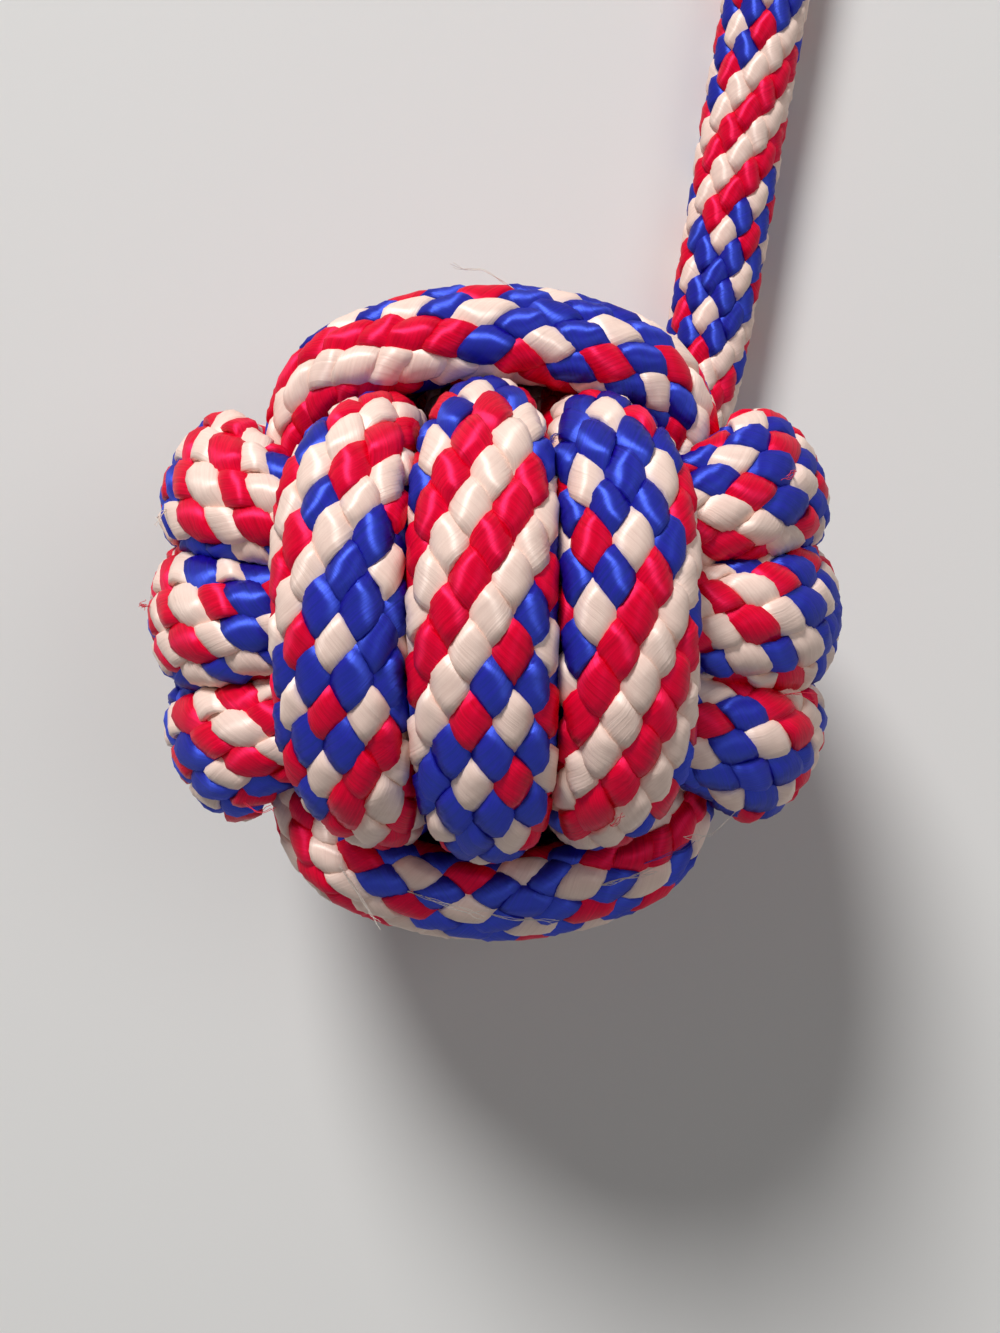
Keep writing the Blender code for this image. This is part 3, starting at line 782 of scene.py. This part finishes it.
# %% Tail and knot
def join(name, parts):
    """Makes one piece of several, under a new name."""
    with bpy.context.temp_override(active_object=parts[0], selected_objects=parts,
                                   selected_editable_objects=parts):
        bpy.ops.object.join()
    parts[0].name = parts[0].data.name = name
    return parts[0]


def joined_braid(name, line):
    """Both sets of strands and the heart as one piece."""
    return join(name, [strands(f"{name}_right", line, 1), strands(f"{name}_left", line, -1),
                       heart(f"{name}_heart", line)])


knot = joined_braid("stopper_knot_braid", lines["stopper_knot"])
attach(knot, "root")
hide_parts("stopper_knot")

tail = joined_braid("tail_braid", lines["tail_rope"])
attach(tail, "root")
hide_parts("tail_rope")

# %% [markdown]
# ## Stray fibres
# Where the rope has been rubbed, single fibres have worked loose: pale hairs along the rim turn
# that is lowest in the picture, red tufts at the sides, a few blue ones. Blender's hair would have
# to be turned into surfaces for the export in any case. Each tuft is one short curve that a second
# tree copies a few times and lets wander, the more the further it is from its root.

# %% The tree for loose fibres
FIBRE_APART = 5.3                              # how far the noise moves from one fibre to the next
BENDS = 70.0                                   # scale of the noise, for each metre


def build_stray_tree():
    t = Tree("stray_fibres")
    t.port("Geometry", "NodeSocketGeometry", "OUTPUT")
    t.port("Line", "NodeSocketGeometry")
    t.port("Fibres", "NodeSocketInt", value=4)
    t.port("Wander", "NodeSocketFloat", value=0.0022)
    t.port("Thickness", "NodeSocketFloat", value=0.00006)
    t.port("Seed", "NodeSocketFloat", value=3.0)
    t.port("Yarn", "NodeSocketMaterial")
    start = t.nodes.new("NodeGroupInput").outputs
    curve = t.add("GeometryNodeMeshToCurve", Mesh=start["Line"]).outputs["Curve"]
    curve = t.add("GeometryNodeCurveSplineType", {"spline_type": "CATMULL_ROM"}, Curve=curve)
    curve = t.add("GeometryNodeResampleCurve", Curve=curve.outputs["Curve"], Count=22).outputs["Curve"]
    copies = t.add("GeometryNodeDuplicateElements", {"domain": "SPLINE"}, Geometry=curve,
                   Amount=start["Fibres"])

    # Noise that differs from fibre to fibre bends them, and the root stays where it is
    apart = t.joined(X=t.math("MULTIPLY", copies.outputs["Duplicate Index"], FIBRE_APART), Y=start["Seed"])
    place = t.vector("ADD", t.vector("SCALE", t.position(), BENDS), apart)
    noise = t.add("ShaderNodeTexNoise", Vector=place, Detail=1.0)
    centred = t.vector("SUBTRACT", noise.outputs["Color"], (0.5, 0.5, 0.5))
    share = t.add("GeometryNodeSplineParameter").outputs["Factor"]
    offset = t.vector("SCALE", centred, t.math("MULTIPLY", share, start["Wander"]))
    loose = t.add("GeometryNodeSetPosition", Geometry=copies.outputs["Geometry"], Offset=offset)
    ring = t.add("GeometryNodeCurvePrimitiveCircle", {"mode": "RADIUS"}, Resolution=5,
                 Radius=t.math("MULTIPLY", start["Thickness"], 0.5)).outputs["Curve"]
    mesh = t.sweep(loose.outputs["Geometry"], ring)
    mesh = t.add("GeometryNodeRealizeInstances", Geometry=mesh).outputs["Geometry"]
    mesh = t.add("GeometryNodeSetMaterial", Geometry=mesh, Material=start["Yarn"]).outputs["Geometry"]
    t.links.new(mesh, t.nodes.new("NodeGroupOutput").inputs["Geometry"])
    return t.group


stray_tree = build_stray_tree()
print("tree for loose fibres:", len(stray_tree.nodes), "nodes")

# %% Places of the tufts
TUFTS = [
    # group, degrees along the winding, degrees round the rope, run and lift in mm, fibres, yarn
    ("rim_turns", 56, 14, 11.0, 0.9, 3, "white"), ("rim_turns", 72, 24, 9.0, 0.9, 4, "white"),
    ("rim_turns", 88, 40, 8.0, 1.0, 3, "white"), ("rim_turns", 109, 26, 7.0, 1.2, 5, "white"),
    ("rim_turns", 117, 22, 6.0, 1.2, 3, "blue"), ("side_turns", 660, 158, -9.0, 3.4, 2, "white"),
    ("side_turns", 431, 80, 5.0, 1.1, 6, "red"), ("side_turns", 64, 124, 5.0, 1.4, 4, "white"),
    ("front_turns", 58, 112, -5.0, 1.2, 3, "red"), ("side_turns", -60, 90, -6.0, 1.6, 4, "red"),
    ("side_turns", 666, 22, 5.0, 1.2, 3, "red"), ("rim_turns", -95, 107, 7.0, 1.4, 3, "white"),
    ("side_turns", 777, 141, 6.0, 1.4, 3, "red"), ("front_turns", 125, 169, 4.0, 1.5, 4, "blue"),
]
ROOT_DEPTH = 0.0009                            # metres that a root lies inside the rope
MIDDLE_LIFT = 0.7                              # share of the lift that a tuft has half way
print("tufts:", len(TUFTS))


def tuft_line(group, angle, around, run, lift):
    """Root, middle and end of a tuft that starts just under the surface of the rope."""
    line = lines[group]
    i = int(np.argmin(np.abs(line["theta"] - angle)))
    turn = math.radians(around)
    side = line["across"][i] * math.cos(turn) * line["width"][i] / 2
    over = line["out"][i] * math.sin(turn) * line["thick"][i] / 2
    away = unit(side + over)
    root = line["points"][i] + side + over - ROOT_DEPTH * away
    along = unit(np.cross(line["across"][i], line["out"][i])) * run / 1000
    middle = root + along / 2 + away * (ROOT_DEPTH + lift * MIDDLE_LIFT / 1000)
    end = root + along + away * (ROOT_DEPTH + lift / 1000)
    return [root.tolist(), middle.tolist(), end.tolist()]


# %% Make the tufts
HAIRS = {"white": plain_material("white_hair", (0.88, 0.80, 0.70), 0.5, 400.0),
         "red": plain_material("red_hair", (0.80, 0.01, 0.05), 0.5, 400.0),
         "blue": plain_material("blue_hair", (0.02, 0.03, 0.40), 0.5, 400.0)}
FIRST_SEED = 3.0
for group in SLOTS:
    pieces = []
    for number, (of_group, angle, around, run, lift, count, yarn) in enumerate(TUFTS):
        if of_group != group:
            continue
        mesh = bpy.data.meshes.new("tuft_line")
        mesh.from_pydata(tuft_line(group, angle, around, run, lift), [(0, 1), (1, 2)], [])
        guide = bpy.data.objects.new("tuft_line", mesh)
        bpy.context.scene.collection.objects.link(guide)
        tuft = run_tree(guide, stray_tree,
                        {"Fibres": count, "Seed": FIRST_SEED + number, "Yarn": HAIRS[yarn]})
        bpy.data.objects.remove(guide, do_unlink=True)
        pieces.append(bpy.data.objects.new(f"{group}_tuft", tuft))
        bpy.context.scene.collection.objects.link(pieces[-1])
    stray = join(f"{group}_stray_fibres", pieces)
    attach(stray, "root")
    print(stray.name, len(stray.data.polygons), "faces")

# %% [markdown]
# ## Core and tip
# The wooden ball inside and the melted end of the rope are simple solids that already have their
# real shape, so they stay as the solid model has them and only get a finish of their own.

# %% Core and tip
FINISHES = {
    # colour, roughness, grains in a metre
    "core_ball": ("core_wood", (0.52, 0.36, 0.20), 0.6, 300.0),
    "rope_end": ("sealed_tip", (0.32, 0.10, 0.14), 0.35, 1500.0),
}
for node, finish in FINISHES.items():
    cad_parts[node].material_slots[0].material = plain_material(*finish)
    print(node, "is finished as", finish[0])

# %% [markdown]
# ## Table and light
# The fist lies on a plain pale table, so wide that its edges are far off in every view. Many small
# lamps would speckle the shiny yarn, so there is one broad round lamp for the long highlights,
# beyond the tail and to the left, where the highlights in the photograph put it, and a weak one
# on the right that keeps the shadows open. The room gives little light of its own, but the camera
# and the reflections see it pale.

# %% Table
EDGE = 20.0                                    # metres from the middle to each edge
corners = [(-EDGE, -EDGE, 0), (EDGE, -EDGE, 0), (EDGE, EDGE, 0), (-EDGE, EDGE, 0)]
floor_mesh = bpy.data.meshes.new("table")
floor_mesh.from_pydata(corners, [], [(0, 1, 2, 3)])
table = bpy.data.objects.new("table", floor_mesh)
bpy.context.scene.collection.objects.link(table)
table_material = bpy.data.materials.new("pale_table")
table_material.use_nodes = True
table_shader = table_material.node_tree.nodes["Principled BSDF"]
table_shader.inputs["Base Color"].default_value = (0.80, 0.79, 0.77, 1.0)
table_shader.inputs["Roughness"].default_value = 0.9
floor_mesh.materials.append(table_material)
print("table:", 2 * EDGE, "m wide")

# %% Lamps
AIM = (0.0, 0.0, 0.03)                         # both lamps look at the middle of the fist


def soft_lamp(name, place, size, power):
    data = bpy.data.lights.new(name, "AREA")
    data.shape, data.size, data.energy = "DISK", size, power
    obj = bpy.data.objects.new(name, data)
    facing = (Vector(AIM) - Vector(place)).to_track_quat("-Z", "Y")
    obj.matrix_world = Matrix.Translation(place) @ facing.to_matrix().to_4x4()
    bpy.context.scene.collection.objects.link(obj)
    print("lamp", name, "of", power, "W,", size, "m across")


soft_lamp("window", (-0.62, 1.70, 1.33), 0.72, 50.0)
soft_lamp("fill", (1.25, 0.5, 2.0), 1.2, 6.0)

# %% World
ROOM_LIGHT, BACKDROP = 0.13, 0.70              # the light it gives, and how much paler it looks
world = bpy.data.worlds.new("soft_room")
bpy.context.scene.world = world
world.use_nodes = True
room = world.node_tree
room.nodes["Background"].inputs["Color"].default_value = (1.0, 1.0, 1.0, 1.0)
path_node = room.nodes.new("ShaderNodeLightPath")
seen = None
for ray in ("Is Camera Ray", "Is Glossy Ray", "Is Transmission Ray"):
    either = room.nodes.new("ShaderNodeMath")
    either.operation = "MAXIMUM"
    room.links.new(path_node.outputs[ray], either.inputs[0])
    either.inputs[1].default_value = 0.0
    if seen:
        room.links.new(seen, either.inputs[1])
    seen = either.outputs[0]
strength = room.nodes.new("ShaderNodeMath")
strength.operation = "MULTIPLY_ADD"
strength.inputs[1].default_value = BACKDROP
strength.inputs[2].default_value = ROOM_LIGHT
room.links.new(seen, strength.inputs[0])
room.links.new(strength.outputs[0], room.nodes["Background"].inputs["Strength"])
bpy.context.scene.view_settings.view_transform = "Standard"
print("room light", ROOM_LIGHT, "and backdrop", ROOM_LIGHT + BACKDROP)
